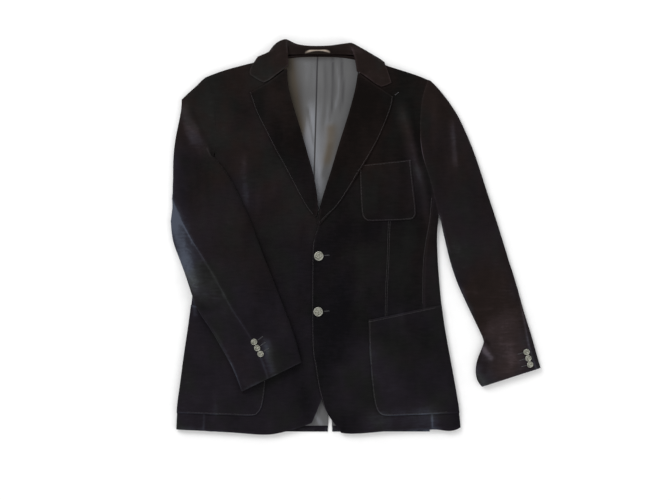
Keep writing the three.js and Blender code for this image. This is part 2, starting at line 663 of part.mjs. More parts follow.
// Buttons: a domed face in a raised rim.
const frontButton = table("r z", [
  [0, 0], [8, 0], [9.5, 1], [9.5, 2.4], [8.8, 3.4], [7.8, 3.5], [7, 2.9], [4, 3.6], [0, 3.9],
]);
const cuffButton = table("r z", [
  [0, 0], [5.6, 0], [6.5, 0.8], [6.5, 2.1], [5.8, 2.8], [5, 2.8], [4.3, 2], [0, 2],
]);
function button(name, profile, sides, x, y, z) {
  const outline = profile.map((row) => new THREE.Vector2(row.r, row.z));
  const geometry = new THREE.LatheGeometry(outline, sides);
  geometry.rotateX(Math.PI / 2);
  add(name, geometry, pewter).position.set(x, y, z);
}
// Highest point of a grid's faces within a radius of a spot.
function highestNear(grid, x, y, radius) {
  let best = -Infinity;
  for (let i = 0; i + 1 < grid.length; i++) {
    for (let j = 0; j + 1 < grid[0].length; j++) {
      const corners = [grid[i][j], grid[i][j + 1], grid[i + 1][j], grid[i + 1][j + 1]];
      for (const u of [0, 0.25, 0.5, 0.75, 1]) {
        for (const v of [0, 0.25, 0.5, 0.75, 1]) {
          const p = corners[0].clone().lerp(corners[1], u).lerp(corners[2].clone().lerp(corners[3], u), v);
          if (Math.hypot(p.x - x, p.y - y) < radius) best = Math.max(best, p.z);
        }
      }
    }
  }
  return best;
}
for (const [name, x, y] of [["front_button_upper", 1.6, 358], ["front_button_lower", 0.4, 246.6]]) {
  button(name, frontButton, 20, x, y, highestNear(fronts.get(LEFT), x, y, 14) + SEAM_GAP);
}
const cuffButtons = table("x y", [[-127.2, 187], [-121, 174.8], [-114.4, 163.2]]);
const farCuffButtons = table("x y", [[417, 166], [420.5, 153.5], [424, 141]]);
for (const [word, spots] of [["right", cuffButtons], ["left", farCuffButtons]]) {
  for (const [i, spot] of spots.entries()) {
    const z = highestNear(sleeveGrids[word], spot.x, spot.y, 8) + SEAM_GAP;
    button("cuff_button_" + word + "_" + (i + 1), cuffButton, 14, spot.x, spot.y, z);
  }
}

// The part's origin is under the middle of its outline.
const box = new THREE.Box3().setFromObject(blazer);
const centre = box.getCenter(new THREE.Vector3());
for (const mesh of blazer.children) {
  mesh.position.x -= centre.x;
  mesh.position.y -= centre.y;
  mesh.position.z -= box.min.z;
}

export default blazer;
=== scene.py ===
import math
from collections import Counter, namedtuple

import bmesh
import bpy
import numpy as np
from mathutils import Matrix, Vector, noise
from mathutils.bvhtree import BVHTree
from mathutils.kdtree import KDTree


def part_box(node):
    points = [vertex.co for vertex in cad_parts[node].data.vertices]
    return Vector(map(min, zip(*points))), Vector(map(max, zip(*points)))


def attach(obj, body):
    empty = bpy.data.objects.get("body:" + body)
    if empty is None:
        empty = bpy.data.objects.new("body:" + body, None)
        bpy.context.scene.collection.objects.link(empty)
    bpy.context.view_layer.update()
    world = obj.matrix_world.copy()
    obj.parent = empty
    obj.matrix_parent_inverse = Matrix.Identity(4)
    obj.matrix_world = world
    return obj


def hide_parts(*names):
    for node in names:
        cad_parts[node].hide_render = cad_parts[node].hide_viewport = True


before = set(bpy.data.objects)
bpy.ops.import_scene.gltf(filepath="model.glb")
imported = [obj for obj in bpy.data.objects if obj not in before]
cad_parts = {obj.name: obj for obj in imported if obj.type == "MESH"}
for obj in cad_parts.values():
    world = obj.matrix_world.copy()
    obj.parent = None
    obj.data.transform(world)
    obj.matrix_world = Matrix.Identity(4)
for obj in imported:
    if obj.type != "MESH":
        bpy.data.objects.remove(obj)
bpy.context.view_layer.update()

bl_info = {
    "name": "Velvet Blazer",
    "version": (1, 0, 0),
    "blender": (4, 5, 0),
    "location": "View3D > Sidebar > Blazer",
    "description": "Dresses the blazer's panels in velvet, satin lining, sewing and buttons",
    "category": "Object",
}

MM = 0.001
DOWN = Vector((0, 0, -1))
RAY_START = 0.2  # height above the whole garment, in metres

# The tables below are in millimetres on the garment: x from the centre front, to the
# wearer's left, and y up from the hem. ORIGIN puts them in the frame.
ORIGIN = (-75.424, -395.553)

Cut = namedtuple("Cut", "node group levels width length area shade rests_on")
CUTS = (
    Cut("back_left", "body", 2, 0.228, 0.755, 0.146, 0.0, ()),
    Cut("back_right", "body", 2, 0.250, 0.755, 0.156, 0.0, ()),
    Cut("side_panel_left", "body", 2, 0.112, 0.500, 0.045, -0.44, ("back_left",)),
    Cut("side_panel_right", "body", 2, 0.118, 0.565, 0.054, -0.06, ("back_right",)),
    Cut("front_left", "body", 3, 0.246, 0.756, 0.147, -0.62, ("side_panel_left", "lining_back_left")),
    Cut("front_right", "body", 3, 0.252, 0.760, 0.154, -0.21, ("side_panel_right", "lining_back_right")),
    Cut("lapel_left", "body", 3, 0.105, 0.325, 0.0187, -0.74, ("front_left",)),
    Cut("lapel_right", "body", 3, 0.105, 0.325, 0.0175, -0.74, ("front_right",)),
    Cut("collar", "body", 3, 0.400, 0.085, 0.0267, -0.10,
        ("back_left", "back_right", "lapel_left", "lapel_right")),
    Cut("chest_pocket", "body", 3, 0.114, 0.126, 0.0127, -0.50, ("front_left",)),
    Cut("lower_pocket_left", "body", 3, 0.185, 0.225, 0.0335, -0.42, ("front_left",)),
    Cut("lower_pocket_right", "body", 3, 0.187, 0.225, 0.0349, -0.08, ("front_right",)),
    Cut("sleeve_left_under", "sleeve_left", 2, 0.170, 0.620, 0.0551, 0.0, ()),
    Cut("sleeve_left_top", "sleeve_left", 3, 0.185, 0.610, 0.0721, -0.10, ("sleeve_left_under",)),
    Cut("sleeve_right_under", "sleeve_right", 2, 0.215, 0.625, 0.0892, 0.02, ("front_right",)),
    Cut("sleeve_right_top", "sleeve_right", 3, 0.190, 0.620, 0.0743, -0.18, ("sleeve_right_under",)),
    Cut("lining_back_left", "lining", 3, 0.216, 0.740, 0.133, 0.0, ("back_left",)),
    Cut("lining_back_right", "lining", 3, 0.236, 0.740, 0.142, 0.0, ("back_right",)),
    Cut("neck_label", "label", 4, 0.052, 0.012, 0.00059, 0.0, ("collar",)),
)
SKINS = {
    "body": ("front_left", "front_right", "side_panel_left", "side_panel_right", "back_left", "back_right"),
    "sleeve_left": ("sleeve_left_top", "sleeve_left_under"),
    "sleeve_right": ("sleeve_right_top", "sleeve_right_under"),
}

# A crease runs along a curve through three points. near and far are its half widths to
# the left and right of its run, and rise is the height of its ridge, or under 0 the
# depth of its trough.
Crease = namedtuple("Crease", "x0 y0 x1 y1 x2 y2 near far rise")
CREASES = {
    "body": (
        Crease(20, 354, 72, 372, 132, 402, 9, 14, -1.8),
        Crease(24, 338, 84, 342, 146, 366, 13, 18, 1.1),
        Crease(14, 238, 58, 204, 92, 150, 10, 16, -1.7),
        Crease(10, 262, 52, 276, 96, 300, 12, 17, 1.0),
        Crease(166, 662, 190, 580, 208, 494, 8, 12, 2.0),
        Crease(186, 668, 200, 610, 214, 520, 7, 9, -2.2),
        Crease(128, 640, 120, 596, 104, 560, 15, 20, -1.2),
        Crease(96, 420, 112, 372, 116, 300, 17, 22, 1.3),
        Crease(166, 400, 172, 340, 170, 276, 15, 20, -1.5),
        Crease(60, 172, 66, 96, 58, 26, 16, 24, -1.6),
        Crease(84, 214, 92, 120, 90, 40, 14, 20, 1.2),
        Crease(74, 716, 124, 706, 184, 694, 12, 16, -1.1),
        Crease(-18, 352, -70, 364, -122, 398, 10, 15, -1.9),
        Crease(-22, 330, -84, 318, -140, 330, 14, 18, 1.2),
        Crease(-12, 240, -66, 202, -96, 146, 10, 16, -1.9),
        Crease(-16, 268, -60, 284, -110, 290, 12, 16, 1.0),
        Crease(-146, 552, -145, 512, -139, 468, 5, 8, -2.0),
        Crease(-120, 560, -126, 500, -118, 440, 11, 15, 1.4),
        Crease(-206, 92, -205, 66, -203, 40, 5, 8, 1.6),
        Crease(-184, 196, -196, 140, -190, 76, 14, 20, -1.4),
        Crease(-60, 170, -72, 100, -66, 30, 16, 22, -1.5),
        Crease(-90, 210, -98, 130, -94, 48, 14, 20, 1.1),
        Crease(-70, 700, -110, 684, -150, 672, 12, 16, -1.1),
        Crease(-112, 410, -124, 350, -120, 286, 16, 20, -1.3),
    ),
    "sleeve_left": (
        Crease(262, 626, 270, 582, 276, 530, 8, 11, 2.0),
        Crease(244, 634, 252, 580, 262, 520, 7, 10, -2.0),
        Crease(300, 650, 312, 590, 316, 520, 12, 16, -1.7),
        Crease(250, 452, 284, 430, 318, 424, 8, 13, -2.2),
        Crease(264, 410, 300, 396, 336, 398, 10, 14, 1.6),
        Crease(270, 384, 302, 366, 338, 368, 7, 12, -2.0),
        Crease(290, 330, 318, 316, 352, 322, 9, 12, -1.6),
        Crease(333, 192, 341, 178, 352, 166, 4, 6, -2.4),
        Crease(330, 170, 341, 158, 354, 148, 6, 7, 1.8),
        Crease(346, 270, 366, 236, 378, 190, 10, 14, -1.4),
    ),
    "sleeve_right": (
        Crease(-272, 676, -240, 612, -202, 552, 8, 12, 2.4),
        Crease(-284, 644, -254, 576, -224, 520, 7, 11, -2.3),
        Crease(-236, 690, -206, 640, -176, 600, 9, 13, -1.8),
        Crease(-218, 448, -186, 414, -150, 402, 8, 12, -2.4),
        Crease(-206, 420, -172, 388, -138, 380, 9, 12, 1.7),
        Crease(-208, 390, -170, 360, -132, 356, 7, 11, -2.0),
        Crease(-180, 320, -150, 300, -116, 300, 9, 12, -1.6),
        Crease(-150, 262, -122, 238, -90, 226, 10, 14, -1.4),
        Crease(-120, 200, -98, 176, -76, 160, 8, 11, 1.3),
    ),
    "lining": (
        Crease(-3, 762, -1, 728, -4, 500, 3, 3, -0.6),
        Crease(8, 748, 12, 660, 2, 520, 5, 9, 1.5),
        Crease(22, 742, 30, 650, 18, 540, 6, 9, 1.6),
        Crease(38, 736, 48, 660, 32, 580, 5, 8, 1.4),
        Crease(-16, 740, -20, 660, -12, 560, 7, 9, 1.5),
        Crease(-34, 730, -38, 650, -24, 590, 6, 10, 1.2),
        Crease(-6, 54, 0, 34, 6, 14, 5, 8, 1.0),
    ),
}

# Where light and shade are painted on the cloth: a curve as a crease has, along which the cloth is
# painted lighter as a highlight, or under 0 darker as shade, and how much lighter it lies in the
# middle of it. Some wide strokes make whole regions lighter or darker, and the label's strokes lay
# out its cream tape, its own colour.
Stroke = namedtuple("Stroke", "x0 y0 x1 y1 x2 y2 near far rise")
PAINTED_LIGHT_AND_TONE = {
    "body": (
        Stroke(-270, 20, -150, 16, -50, 20, 30, 30, 0.14),
        Stroke(60, 24, 160, 28, 280, 30, 40, 40, 0.96),
        Stroke(40, 160, 48, 90, 56, 30, 40, 46, 0.50),
        Stroke(-190, 240, -196, 140, -186, 40, 60, 60, 0.12),
        Stroke(110, 200, 124, 130, 150, 50, 60, 60, 0.46),
        Stroke(162, 268, 167, 226, 172, 186, 9, 10, 0.26),
        Stroke(158, 676, 186, 584, 206, 480, 9, 16, 0.90),
        Stroke(180, 690, 196, 600, 210, 500, 6, 6, -0.20),
        Stroke(200, 560, 212, 480, 220, 400, 8, 10, 0.62),
        Stroke(-149, 576, -146, 512, -141, 436, 9, 12, 0.56),
        Stroke(-120, 520, -118, 480, -122, 430, 7, 8, 0.22),
        Stroke(-206, 100, -205, 66, -203, 30, 6, 8, 0.30),
        Stroke(-250, 288, -247, 260, -244, 228, 7, 8, 0.66),
        Stroke(-40, 430, -46, 300, -40, 150, 46, 60, -0.10),
        Stroke(-196, 714, -130, 690, -60, 700, 30, 34, 0.18),
        Stroke(-150, 640, -100, 570, -84, 480, 44, 36, 0.16),
        Stroke(-90, 700, -70, 640, -50, 560, 20, 20, 0.20),
        Stroke(96, 726, 120, 716, 190, 700, 14, 20, 0.24),
        Stroke(16, 768, 58, 773, 98, 762, 9, 9, 0.40),
        Stroke(-60, 150, -40, 100, -30, 40, 26, 26, -0.20),
        Stroke(110, 640, 90, 560, 60, 480, 26, 26, 0.10),
    ),
    "sleeve_left": (
        Stroke(267, 640, 272, 586, 279, 516, 5, 11, 0.70),
        Stroke(226, 690, 232, 640, 230, 560, 10, 8, 0.24),
        Stroke(215, 716, 203, 612, 233, 462, 3.0, 2.6, 0.95),
        Stroke(262, 336, 298, 322, 334, 326, 3, 5, 0.16),
        Stroke(258, 316, 296, 304, 340, 306, 3, 5, -0.18),
        Stroke(270, 298, 306, 286, 346, 290, 3, 5, 0.18),
        Stroke(276, 280, 314, 268, 352, 274, 3, 5, -0.16),
        Stroke(288, 262, 322, 252, 356, 258, 3, 5, 0.14),
        Stroke(254, 640, 260, 590, 266, 540, 7, 8, -0.16),
        Stroke(236, 450, 262, 344, 333, 194, 7, 5, 0.62),
        Stroke(324, 182, 338, 163, 353, 146, 8, 8, 0.80),
        Stroke(328, 196, 337, 186, 348, 180, 4, 4, -0.40),
        Stroke(310, 430, 350, 320, 372, 180, 50, 60, 0.20),
        Stroke(350, 250, 374, 176, 388, 90, 50, 60, 0.68),
        Stroke(314, 150, 320, 116, 342, 92, 13, 9, 0.80),
    ),
    "sleeve_right": (
        Stroke(-274, 672, -262, 622, -244, 568, 15, 11, 0.60),
        Stroke(-252, 630, -238, 590, -228, 552, 18, 16, 0.34),
        Stroke(-262, 676, -232, 610, -206, 556, 5, 6, -0.26),
        Stroke(-300, 610, -298, 500, -290, 400, 20, 12, 0.72),
        Stroke(-296, 480, -276, 374, -230, 248, 26, 14, 1.02),
        Stroke(-238, 252, -186, 172, -152, 88, 3, 3, 0.34),
        Stroke(-112, 210, -98, 154, -86, 108, 15, 14, 0.84),
        Stroke(-200, 560, -160, 480, -120, 380, 30, 26, -0.10),
        Stroke(-236, 700, -224, 660, -214, 610, 16, 16, 0.10),
        Stroke(-150, 120, -140, 104, -100, 110, 9, 9, 0.26),
        Stroke(-250, 266, -220, 254, -186, 262, 4, 6, -0.30),
        Stroke(-246, 250, -214, 240, -180, 248, 4, 5, 0.18),
        Stroke(-238, 288, -206, 276, -170, 286, 4, 5, 0.14),
        Stroke(-206, 520, -176, 470, -150, 410, 8, 10, 0.12),
    ),
    # On the lining: painted shade along its left edge under the lapel, along its top under the collar and in its
    # folds, painted highlights on its folds, and painted light in the V between the lapels.
    "lining": (
        Stroke(-68, 806, -58, 700, -36, 590, 26, 12, -0.80),
        Stroke(-70, 760, 0, 754, 70, 763, 8, 6, -0.30),
        Stroke(26, 776, 31, 700, 22, 620, 2.2, 3, -0.50),
        Stroke(44, 776, 50, 700, 42, 636, 2.4, 4, -0.42),
        Stroke(12, 766, 15, 690, 8, 600, 3, 5, -0.16),
        Stroke(-24, 660, -16, 626, -6, 560, 3, 5, -0.26),
        Stroke(6, 748, 9, 690, 4, 620, 4, 5, 0.04),
        Stroke(36, 752, 41, 700, 32, 640, 3, 4, 0.16),
        Stroke(-26, 736, -26, 650, -14, 560, 9, 9, 0.02),
        Stroke(-20, 690, -13, 560, 0, 430, 20, 20, 0.38),
        Stroke(20, 700, 19, 610, 8, 510, 15, 13, 0.12),
        Stroke(26, 590, 20, 556, 6, 504, 6, 6, -0.22),
        Stroke(-18, 62, -6, 40, 10, 10, 6, 5, 0.22),
    ),
    "label": (
        Stroke(-30, 762.0, 0, 769.6, 29, 762.8, 2.1, 2.0, 1.0),
        Stroke(-22, 766.6, -2, 769.6, 18, 767.6, 1.6, 1.5, 0.8),
    ),
}
# Where the velvet is warmer in tone, or under 0 cooler.
WARMED = {
    "body": (
        Stroke(70, 730, 92, 630, 50, 490, 60, 60, 0.78),
        Stroke(-60, 60, 0, 40, 120, 40, 60, 60, 0.10),
        Stroke(-120, 730, 0, 772, 130, 730, 40, 40, 0.62),
        Stroke(-150, 600, -146, 512, -120, 420, 30, 30, -0.22),
        Stroke(160, 680, 188, 580, 216, 440, 16, 18, -0.16),
        Stroke(-252, 300, -247, 260, -242, 220, 12, 12, -1.1),
    ),
    "sleeve_left": (
        Stroke(318, 360, 372, 220, 396, 60, 60, 80, 1.10),
        Stroke(236, 450, 262, 344, 333, 194, 9, 7, -0.55),
        Stroke(266, 650, 272, 582, 277, 500, 12, 12, -0.12),
    ),
    "sleeve_right": (
        Stroke(-300, 620, -286, 440, -236, 270, 34, 20, -0.95),
        Stroke(-130, 210, -104, 150, -90, 90, 26, 24, -0.45),
        Stroke(-280, 690, -262, 622, -236, 560, 26, 20, -0.12),
    ),
}
# Where warm light and shade are painted on the lining: the brown shade that the lapel casts along
# its left edge, a patch of warm reflected light further in, and a warm shade along its top under
# the collar.
WARM_LIGHT_AND_SHADE = (
    Stroke(-72, 820, -60, 700, -39, 576, 18, 16, 2.0),
    Stroke(24, 628, 24, 586, 12, 528, 14, 12, 0.74),
    Stroke(-70, 762, 0, 757, 70, 764, 7, 5, 0.3),
)
# Where a seam is pressed flat, so that its rims get no painted highlight.
PRESSED = {
    "body": (
        Stroke(-226, 730, -202, 650, -196, 540, 16, 16, 1.3),
        Stroke(-80, 756, 0, 758, 80, 752, 5, 5, 1.6),
    ),
    "sleeve_right": (Stroke(-226, 730, -202, 650, -196, 540, 16, 16, 1.3),),
}

# Each row of sewing is a line through points, a distance inside it to the right of its
# run, and the rows that lie side by side there, a gap apart. An overhand row has its
# stitches across its run, as round a buttonhole. Its stitches lie on the pieces in on.
Sewing = namedtuple("Sewing", "name on overhand inside rows gap points")
SEWING = (
    Sewing("lapel_left", ("lapel_left", "front_left"), False, 2.4, 1, 0,
           ((150.5, 675.6), (148.5, 663), (142, 641), (121, 592), (98.5, 552), (79, 521), (58, 486),
            (38, 457), (21.5, 441), (5, 424))),
    Sewing("lapel_right", ("lapel_right", "front_right"), False, -2.4, 1, 0,
           ((-137.4, 683.6), (-133.5, 674), (-124, 646), (-104, 606), (-87, 572), (-66, 534), (-46, 496),
            (-26, 459), (-12, 440))),
    Sewing("front_edge_left", ("front_left",), False, -2.6, 1, 0,
           ((-4.8, 408), (-10, 391), (-12.4, 354), (-12.4, 188), (-6, 137), (0.4, 96), (6.8, 70.6), (13, 50),
            (23.2, 30), (33.4, 14.4))),
    Sewing("chest_pocket", ("chest_pocket",), False, 2.4, 1, 0,
           ((83, 539.6), (184.8, 550.8), (188, 520), (191.5, 489), (195, 458), (196, 444), (194.6, 438),
            (191, 433), (182, 430.4), (143, 428), (104, 427.4), (96.5, 429), (91.6, 433), (88, 440),
            (86, 456), (84.5, 484), (83.4, 512), (83, 539.6))),
    Sewing("lower_pocket_left", ("lower_pocket_left",), False, -2.6, 1, 0,
           ((101, 230), (102, 188), (104.5, 144), (108.5, 96), (112.5, 67), (117, 51), (124, 42), (134, 38.4),
            (200, 40.6), (258, 43.4))),
    Sewing("pocket_mouth_left", ("lower_pocket_left",), False, 4.0, 1, 0, ((101, 230), (236, 258.6))),
    Sewing("lower_pocket_right", ("lower_pocket_right",), False, 2.6, 1, 0,
           ((-98, 230), (-99, 188), (-101.5, 144), (-105.5, 96), (-109.5, 67), (-114, 51), (-121, 42),
            (-131, 38.4), (-200, 40.6), (-262, 43.4))),
    Sewing("dart_left", ("front_left",), False, 0.0, 2, 3.4,
           ((142.6, 427.2), (141, 390), (140, 350), (137, 290), (136, 236))),
    Sewing("side_seam_left", ("side_panel_left", "front_left"), False, 2.4, 1, 0,
           ((229.4, 473), (225.6, 430), (218, 386), (212.8, 340), (211.6, 262))),
    # A short light mark across the lapel's tip, in buttonhole thread.
    Sewing("lapel_tip_mark", ("front_left",), True, 0.0, 1, 0, ((154.0, 679.6), (161.6, 685.4))),
    Sewing("buttonhole_upper", ("front_left",), True, 0.0, 1, 0, ((13.0, 359.0), (23.0, 359.8))),
    Sewing("buttonhole_lower", ("front_left",), True, 0.0, 1, 0, ((12.0, 247.4), (22.5, 248.2))),
    Sewing("cuff_hole_right_1", ("sleeve_right_top",), True, 0.0, 1, 0, ((-119.5, 190.8), (-109.5, 198.0))),
    Sewing("cuff_hole_right_2", ("sleeve_right_top",), True, 0.0, 1, 0, ((-114.5, 179.6), (-104.6, 186.4))),
    Sewing("cuff_hole_right_3", ("sleeve_right_top",), True, 0.0, 1, 0, ((-107.5, 168.2), (-98.0, 174.6))),
    Sewing("cuff_hole_left_1", ("sleeve_left_top",), True, 0.0, 1, 0, ((410, 164.4), (399.5, 161.6))),
    Sewing("cuff_hole_left_2", ("sleeve_left_top",), True, 0.0, 1, 0, ((413.5, 151.8), (403, 149.0))),
    Sewing("cuff_hole_left_3", ("sleeve_left_top",), True, 0.0, 1, 0, ((417, 139.2), (406.5, 136.4))),
)

# Pieces that are sewn to each other along a seam, how far the seam reaches in mm, and
# the height from the hem where it ends.
Seam = namedtuple("Seam", "first second reach lowest")
SEAMS = (
    Seam("front_left", "side_panel_left", 3.4, -50),
    Seam("front_right", "side_panel_right", 3.4, -50),
    Seam("back_left", "side_panel_left", 3.4, -50),
    Seam("back_right", "side_panel_right", 3.4, -50),
    Seam("back_left", "back_right", 3.4, -50),
    Seam("front_left", "back_left", 3.4, -50),
    Seam("front_right", "back_right", 3.4, -50),
    Seam("lining_back_left", "lining_back_right", 3.4, -50),
    Seam("sleeve_left_top", "sleeve_left_under", 3.4, -50),
    Seam("sleeve_right_top", "sleeve_right_under", 3.4, -50),
    Seam("sleeve_left_top", "front_left", 7.0, 440),
    Seam("sleeve_left_under", "back_left", 5.0, 440),
    Seam("sleeve_left_under", "side_panel_left", 7.0, 440),
    Seam("sleeve_left_top", "side_panel_left", 7.0, 440),
    Seam("sleeve_right_top", "front_right", 9.0, 546),
    Seam("sleeve_right_under", "front_right", 7.0, 546),
    Seam("sleeve_right_under", "back_right", 3.4, 560),
    Seam("sleeve_right_under", "side_panel_right", 3.4, 560),
)


def at(x, y, z=0.0):
    """A point of the tables, in the frame's metres."""
    return Vector(((x + ORIGIN[0]) * MM, (y + ORIGIN[1]) * MM, z))


def smooth(t):
    t = np.clip(t, 0.0, 1.0)
    return t * t * (3.0 - 2.0 * t)


# Materials


class Board:
    """Node tree of one material, with short calls for adding nodes and links."""

    def __init__(self, name):
        self.material = bpy.data.materials.new(name)
        self.material.use_nodes = True
        self.nodes = self.material.node_tree.nodes
        self.links = self.material.node_tree.links
        self.shader = self.nodes["Principled BSDF"]
        self.coords = self.nodes.new("ShaderNodeTexCoord").outputs["Object"]

    def noise(self, scale, detail, roughness, stretch=(1, 1, 1)):
        mapping = self.nodes.new("ShaderNodeMapping")
        mapping.inputs["Scale"].default_value = stretch
        self.links.new(self.coords, mapping.inputs["Vector"])
        texture = self.nodes.new("ShaderNodeTexNoise")
        texture.inputs["Scale"].default_value = scale
        texture.inputs["Detail"].default_value = detail
        texture.inputs["Roughness"].default_value = roughness
        self.links.new(mapping.outputs["Vector"], texture.inputs["Vector"])
        return texture.outputs["Fac"]

    def attribute(self, name):
        node = self.nodes.new("ShaderNodeAttribute")
        node.attribute_type = "GEOMETRY"
        node.attribute_name = name
        return node.outputs["Fac"]

    def math(self, operation, a, b, clamp=False):
        node = self.nodes.new("ShaderNodeMath")
        node.operation = operation
        node.use_clamp = clamp
        for socket, value in zip(node.inputs, (a, b)):
            if isinstance(value, (int, float)):
                socket.default_value = value
            else:
                self.links.new(value, socket)
        return node.outputs["Value"]

    def swing(self, noise_factor, amount):
        """A noise about 0, from about minus to plus half the amount."""
        return self.math("MULTIPLY", self.math("SUBTRACT", noise_factor, 0.5), amount)

    def blend(self, factor, first, second):
        node = self.nodes.new("ShaderNodeMix")
        node.data_type = "RGBA"
        self.links.new(factor, node.inputs["Factor"])
        self.links.new(first, node.inputs["A"])
        self.links.new(second, node.inputs["B"])
        return next(o for o in node.outputs if o.type == "RGBA")

    def ramp(self, factor, stops):
        node = self.nodes.new("ShaderNodeValToRGB")
        while len(node.color_ramp.elements) < len(stops):
            node.color_ramp.elements.new(0.5)
        for element, (place, colour) in zip(node.color_ramp.elements, stops):
            element.position = place
            element.color = (*colour, 1.0)
        self.links.new(factor, node.inputs["Fac"])
        return node.outputs["Color"]

    def bump(self, height, distance, strength=1.0, under=None):
        node = self.nodes.new("ShaderNodeBump")
        node.inputs["Distance"].default_value = distance
        node.inputs["Strength"].default_value = strength
        self.links.new(height, node.inputs["Height"])
        if under is not None:
            self.links.new(under, node.inputs["Normal"])
        return node.outputs["Normal"]

    def set(self, **values):
        for name, value in values.items():
            self.shader.inputs[name.replace("_", " ")].default_value = value

    def join(self, output, name):
        self.links.new(output, self.shader.inputs[name])


def pile_ramp(board, tone, deep, lit, painted_light_and_tone):
    """Colours of the pile from its darkest tone, where painted shade lies, through plain pile to the painted
    highlight.
    """
    soft_highlight = tuple(0.76 * a + 0.24 * b for a, b in zip(lit, painted_light_and_tone))
    return board.ramp(tone, ((0.0, deep), (0.5, lit), (0.76, soft_highlight), (1.0, painted_light_and_tone)))


# How far each noise moves the tone of the pile, from its largest to its finest grain.
PATCHES = 1.30
STREAKS = 0.85
WEAVE = 0.62
PILE = 0.34
# The tone of plain pile, the share that the noises and strokes have in it, and that of the
# painted highlight on rims.
PLAIN_TONE = 0.42
TONE_SWING = 0.5
RIM_HIGHLIGHT_TONE = 0.60


def velvet(colours):
    board = Board("velvet")
    patches = board.noise(8.0, 3.0, 0.55)
    streaks = board.noise(30.0, 3.0, 0.6, (1.0, 0.45, 1.0))
    weave = board.noise(260.0, 2.0, 0.6, (0.22, 1.0, 1.0))
    pile = board.noise(900.0, 2.0, 0.7, (1.0, 0.6, 1.0))
    tone = board.math("ADD", board.swing(patches, PATCHES), board.swing(streaks, STREAKS))
    tone = board.math("ADD", tone, board.swing(weave, WEAVE))
    tone = board.math("ADD", tone, board.swing(pile, PILE))
    # The strokes add painted highlights and painted shade to the tone, and each piece its shade.
    tone = board.math("ADD", tone, board.attribute("painted_light_and_tone"))
    # The rims get a painted highlight.
    tone = board.math("ADD", tone, board.math("MULTIPLY", board.attribute("rim_highlight"), RIM_HIGHLIGHT_TONE))
    tone = board.math("ADD", board.math("MULTIPLY", tone, TONE_SWING), PLAIN_TONE, True)
    cool = pile_ramp(board, tone, colours.velvet_deep, colours.velvet_lit, colours.velvet_highlight)
    warm = pile_ramp(board, tone, colours.warm_deep, colours.warm_lit, colours.warm_highlight)
    height = board.nodes.new("ShaderNodeSeparateXYZ")
    board.links.new(board.coords, height.inputs["Vector"])
    drift = board.swing(board.noise(11.0, 3.0, 0.6), 1.8)
    up = board.math("ADD", board.math("MULTIPLY", height.outputs["Y"], 1.9), drift)
    share = board.math("ADD", board.math("ADD", up, board.attribute("warmed")), 0.42, True)
    grey = pile_ramp(board, tone, colours.grey_deep, colours.grey_lit, colours.grey_highlight)
    greyed = board.math("ADD", board.swing(board.noise(15.0, 3.0, 0.6, (1.0, 0.8, 1.0)), 5.0), 0.22, True)
    tinted = board.math("MULTIPLY", board.attribute("warmed"), board.attribute("warmed"))
    greyed = board.math("SUBTRACT", board.math("MULTIPLY", greyed, 0.85), tinted, True)
    board.join(board.blend(greyed, board.blend(share, cool, warm), grey), "Base Color")
    board.join(board.bump(pile, 0.0006, 0.5, board.bump(weave, 0.0005, 0.4)), "Normal")
    board.set(Roughness=0.9, Sheen_Weight=0.03, Sheen_Roughness=0.35, Sheen_Tint=(0.9, 0.86, 0.92, 1.0))
    board.shader.inputs["Specular IOR Level"].default_value = 0.08
    return board.material


# The shadow in the lining's centre pleat, in metres in the frame: its place at the
# frame's middle, its lean, its half width, and the share of it for each metre up.
PLEAT_PLACE = -0.0868
PLEAT_LEAN = 0.029
PLEAT_HALF_WIDTH = 0.0020
PLEAT_GROWTH = 8.0


def pleat_shadow(board):
    """How dark the lining's centre pleat is, from 0 to 1."""
    place = board.nodes.new("ShaderNodeSeparateXYZ")
    board.links.new(board.coords, place.inputs["Vector"])
    line = board.math("ADD", board.math("MULTIPLY", place.outputs["Y"], PLEAT_LEAN), PLEAT_PLACE)
    away = board.math("ABSOLUTE", board.math("SUBTRACT", place.outputs["X"], line), 0.0)
    shadow = board.math("SUBTRACT", 1.6, board.math("DIVIDE", away, 0.6 * PLEAT_HALF_WIDTH), True)
    return board.math("MULTIPLY", shadow, board.math("MULTIPLY", place.outputs["Y"], PLEAT_GROWTH, True))


def satin(colours):
    board = Board("lining")
    folds = board.noise(22.0, 3.0, 0.5, (1.0, 0.22, 1.0))
    weave = board.noise(1400.0, 1.0, 0.5, (0.35, 1.0, 1.0))
    # The folds' noise paints light and shade along the folds into the colour, besides bumping the surface.
    tone = board.math("ADD", board.swing(folds, 0.5), board.swing(weave, 0.12))
    tone = board.math("SUBTRACT", board.math("ADD", tone, board.attribute("painted_light_and_tone")), pleat_shadow(board))
    tone = board.math("ADD", tone, 0.72, True)
    plain = board.ramp(tone, ((0.0, colours.lining_shadow), (0.75, colours.lining), (1.0, colours.lining_lit)))
    # The painted warm light and shade, darker where the lining's tone is low.
    warm_light_and_shade_dark = tuple(0.42 * channel for channel in colours.lining_warm_light_and_shade)
    warm_light_and_shade_colours = board.ramp(tone, ((0.0, warm_light_and_shade_dark), (0.75, colours.lining_warm_light_and_shade)))
    board.join(board.blend(board.attribute("warm_light_and_shade"), plain, warm_light_and_shade_colours), "Base Color")
    board.join(board.bump(weave, 0.0002, 0.3, board.bump(folds, 0.002, 0.25)), "Normal")
    board.set(Roughness=0.42, Sheen_Weight=0.1)
    board.shader.inputs["Specular IOR Level"].default_value = 0.4
    return board.material


